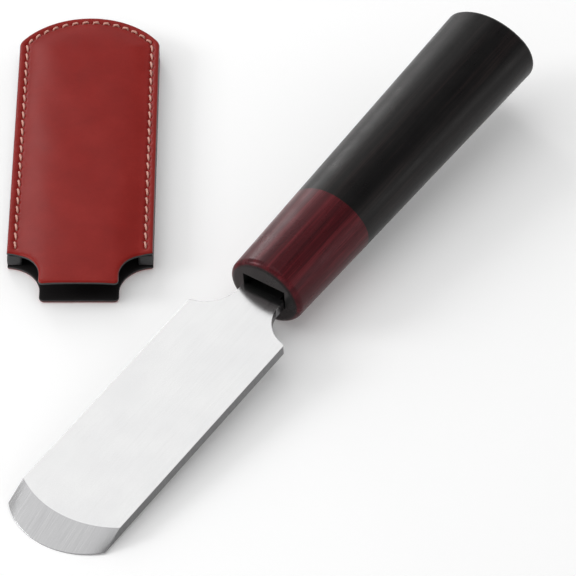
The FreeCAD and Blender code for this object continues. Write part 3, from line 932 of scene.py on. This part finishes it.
def build_sheath():
    """Leather, welts and thread for the CAD's nodes; one node stands for both rows of stitches."""
    outer, inner, edge, thread = red_leather(), inner_leather(), edge_leather(), waxed_thread()
    panel = panel_outline(PANEL_OUTLINE_STEP)
    rows = seam_rows(PANEL_OUTLINE_STEP)
    front = slab("front_panel", panel, front_top, front_bottom, EDGE_ROUNDING, FRONT_STEP, rows)
    back = slab("back_panel", panel, back_top, back_bottom, EDGE_ROUNDING, BACK_STEP, rows)
    made = [
        (front, (outer, inner, edge), "sheath_front", "red_leather"),
        (back, (inner, outer, edge), "sheath_back", "red_leather"),
    ]
    welts = {
        "welt_left": side_welt_outline(-1, SIDE_WELT_OUTLINE_STEP),
        "welt_right": side_welt_outline(1, SIDE_WELT_OUTLINE_STEP),
        "welt_end": end_welt_outline(END_WELT_OUTLINE_STEP),
    }
    for node, outline in welts.items():
        strip = slab(f"{node}_strip", outline, welt_top, welt_bottom, WELT_ROUNDING, WELT_STEP)
        made.append((strip, (edge, edge, edge), node, "dark_leather"))
    front_level = FRONT_FACE - FRONT_GROOVE + PLY_RADIUS + THREAD_LIFT
    back_level = BACK_GROOVE - PLY_RADIUS - PLY_OFFSET
    front_thread = make_stitching("front_stitches", front_level, FRONT_DIVE)
    back_thread = make_stitching("back_stitches", back_level, -BACK_DIVE)
    made.append((front_thread, (thread,), "stitching", "thread"))
    made.append((back_thread, (thread,), None, "thread"))
    for piece, materials, node, slot in made:
        for material in materials:
            piece.data.materials.append(material)
        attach(piece, "sheath")
        if node:
            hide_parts(node)


# ---------------------------------------------------------------- floor, lights and camera

def toward(azimuth, elevation):
    """Direction from the set; azimuth 0 is behind it, along +Y, and turns towards +X."""
    a, e = math.radians(azimuth), math.radians(elevation)
    return Vector((math.sin(a) * math.cos(e), math.cos(a) * math.cos(e), math.sin(e)))


def softbox(name, from_side, elevation, distance, size, radiance):
    """Light that faces the set, in metres; from_side is its azimuth, size its width and height."""
    width, height = size
    light = bpy.data.lights.new(name, "AREA")
    light.shape = "RECTANGLE"
    light.size, light.size_y = width, height
    light.energy = radiance * math.pi * width * height
    lamp = bpy.data.objects.new(name, light)
    bpy.context.scene.collection.objects.link(lamp)
    direction = toward(from_side, elevation)
    lamp.location = direction * distance
    lamp.rotation_euler = direction.to_track_quat("Z", "Y").to_euler()


def build_floor():
    """White paper under the set, which glows a little so that its shadows stay pale."""
    low, high = -FLOOR_HALF, FLOOR_HALF
    corners = [(low, low, 0.0), (high, low, 0.0), (high, high, 0.0), (low, high, 0.0)]
    mesh = bpy.data.meshes.new("floor")
    mesh.from_pydata(corners, [], [(0, 1, 2, 3)])
    floor = bpy.data.objects.new("floor", mesh)
    bpy.context.scene.collection.objects.link(floor)
    paper = Finish("floor_paper", base_color=FLOOR_GREY, roughness=0.9, ior_level=0.1)
    paper.set(emission_color=1.0, emission_strength=FLOOR_GLOW)
    mesh.materials.append(paper.material)
    floor.location.z = min(0.0, cad_low.z)


def build_lights():
    """A wide key, a box that the blade mirrors, and three that draw the handle's highlights."""
    softbox("key", from_side=-80, elevation=74, distance=1.5, size=(1.4, 2.3), radiance=1.08)
    softbox("back", from_side=-9, elevation=51, distance=1.5, size=(0.62, 0.56), radiance=1.10)
    softbox("strip", from_side=-24, elevation=24, distance=1.35, size=(0.26, 0.85), radiance=3.6)
    softbox("left", from_side=-92, elevation=26, distance=1.3, size=(0.45, 0.40), radiance=9.2)
    softbox("side", from_side=92, elevation=17, distance=1.2, size=(0.4, 0.20), radiance=1.5)


def build_backdrop():
    """World light: bright all round, darker overhead."""
    world = bpy.data.worlds.new("studio")
    world.use_nodes = True
    nodes, links = world.node_tree.nodes, world.node_tree.links
    direction = nodes.new("ShaderNodeTexCoord")
    split = nodes.new("ShaderNodeSeparateXYZ")
    fade = nodes.new("ShaderNodeMapRange")
    fade.interpolation_type = "SMOOTHSTEP"
    settings = {
        "From Min": BACKDROP_FADE_FROM,
        "From Max": BACKDROP_FADE_TO,
        "To Min": BACKDROP_LOW,
        "To Max": BACKDROP_OVERHEAD,
    }
    for name, value in settings.items():
        fade.inputs[name].default_value = value
    links.new(direction.outputs["Generated"], split.inputs[0])
    links.new(split.outputs["Z"], fade.inputs["Value"])
    links.new(fade.outputs[0], nodes["Background"].inputs["Strength"])
    nodes["Background"].inputs["Color"].default_value = (1.0, 1.0, 1.0, 1.0)
    bpy.context.scene.world = world


def build_camera():
    """Camera in front of the set, 44 degrees above it, with a long lens and no roll."""
    elevation = math.radians(CAMERA_ELEVATION)
    view = Vector((0.0, math.cos(elevation), -math.sin(elevation)))
    aim = KNIFE.translation + AIM_OFFSET * MM
    camera = bpy.data.cameras.new("camera")
    camera.lens = FOCAL_LENGTH
    camera.sensor_width = SENSOR_WIDTH
    camera.clip_start, camera.clip_end = CAMERA_NEAR, CAMERA_FAR
    holder = bpy.data.objects.new("camera", camera)
    holder.location = aim - view * CAMERA_DISTANCE
    holder.rotation_euler = view.to_track_quat("-Z", "Y").to_euler()
    bpy.context.scene.collection.objects.link(holder)
    bpy.context.scene.camera = holder


finish_knife()
build_sheath()
build_floor()
build_backdrop()
build_lights()
build_camera()
bpy.context.scene.view_settings.view_transform = "Standard"
